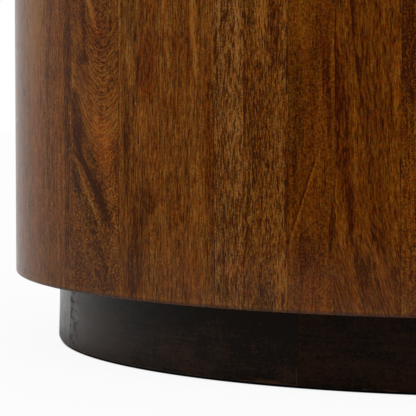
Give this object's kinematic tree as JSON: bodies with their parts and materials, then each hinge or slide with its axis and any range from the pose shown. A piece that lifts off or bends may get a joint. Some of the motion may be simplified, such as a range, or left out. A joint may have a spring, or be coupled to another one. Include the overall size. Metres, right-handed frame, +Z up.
{
  "type": "round drum coffee table",
  "caption": "Low round wooden coffee table: a drum of upright glued staves under a flat boarded top, on a recessed dark plinth ring with screw-in levelling feet.",
  "frame": {"origin": "on the floor under the middle of the table, at the bottom of the feet when they are screwed right in", "axes": "+Z up, -Y to the front that the picture shows, +X to the viewer's right; the top boards run along X"},
  "size_m": [0.914, 0.914, 0.4],
  "materials": {
    "stave_wood": "satin clear coat over honey-brown hardwood",
    "top_wood": "satin clear coat over honey-brown hardwood",
    "plywood": "bare birch plywood",
    "plinth_wood": "espresso stain, satin",
    "zinc_steel": "zinc plated",
    "black_nylon": "moulded black nylon"
  },
  "bodies": {
    "table": {"stave_01": "stave_wood", "stave_02": "stave_wood", "stave_03": "stave_wood", "stave_04": "stave_wood", "stave_05": "stave_wood", "stave_06": "stave_wood", "stave_07": "stave_wood", "stave_08": "stave_wood", "stave_09": "stave_wood", "stave_10": "stave_wood", "stave_11": "stave_wood", "stave_12": "stave_wood", "stave_13": "stave_wood", "stave_14": "stave_wood", "stave_15": "stave_wood", "stave_16": "stave_wood", "stave_17": "stave_wood", "stave_18": "stave_wood", "stave_19": "stave_wood", "stave_20": "stave_wood", "stave_21": "stave_wood", "stave_22": "stave_wood", "stave_23": "stave_wood", "stave_24": "stave_wood", "stave_25": "stave_wood", "stave_26": "stave_wood", "stave_27": "stave_wood", "stave_28": "stave_wood", "stave_29": "stave_wood", "stave_30": "stave_wood", "stave_31": "stave_wood", "stave_32": "stave_wood", "stave_33": "stave_wood", "stave_34": "stave_wood", "stave_35": "stave_wood", "top_board_1": "top_wood", "top_board_2": "top_wood", "top_board_3": "top_wood", "top_board_4": "top_wood", "top_board_5": "top_wood", "top_board_6": "top_wood", "top_board_7": "top_wood", "upper_ring": "plywood", "lower_ring": "plywood", "plinth_segment_1": "plinth_wood", "plinth_segment_2": "plinth_wood", "plinth_segment_3": "plinth_wood", "plinth_segment_4": "plinth_wood", "plinth_segment_5": "plinth_wood", "plinth_segment_6": "plinth_wood", "plinth_segment_7": "plinth_wood", "plinth_segment_8": "plinth_wood", "foot_insert_1": "zinc_steel", "foot_insert_2": "zinc_steel", "foot_insert_3": "zinc_steel", "foot_insert_4": "zinc_steel"},
    "front_foot": {"levelling_foot_1": "black_nylon"},
    "right_foot": {"levelling_foot_2": "black_nylon"},
    "back_foot": {"levelling_foot_3": "black_nylon"},
    "left_foot": {"levelling_foot_4": "black_nylon"}
  },
  "joints": [
    {"name": "front_foot_screw", "type": "slide", "parent": "table", "child": "front_foot", "axis": [0, 0, -1], "range_m": [0, 0.012]},
    {"name": "right_foot_screw", "type": "slide", "parent": "table", "child": "right_foot", "axis": [0, 0, -1], "range_m": [0, 0.012]},
    {"name": "back_foot_screw", "type": "slide", "parent": "table", "child": "back_foot", "axis": [0, 0, -1], "range_m": [0, 0.012]},
    {"name": "left_foot_screw", "type": "slide", "parent": "table", "child": "left_foot", "axis": [0, 0, -1], "range_m": [0, 0.012]}
  ]
}
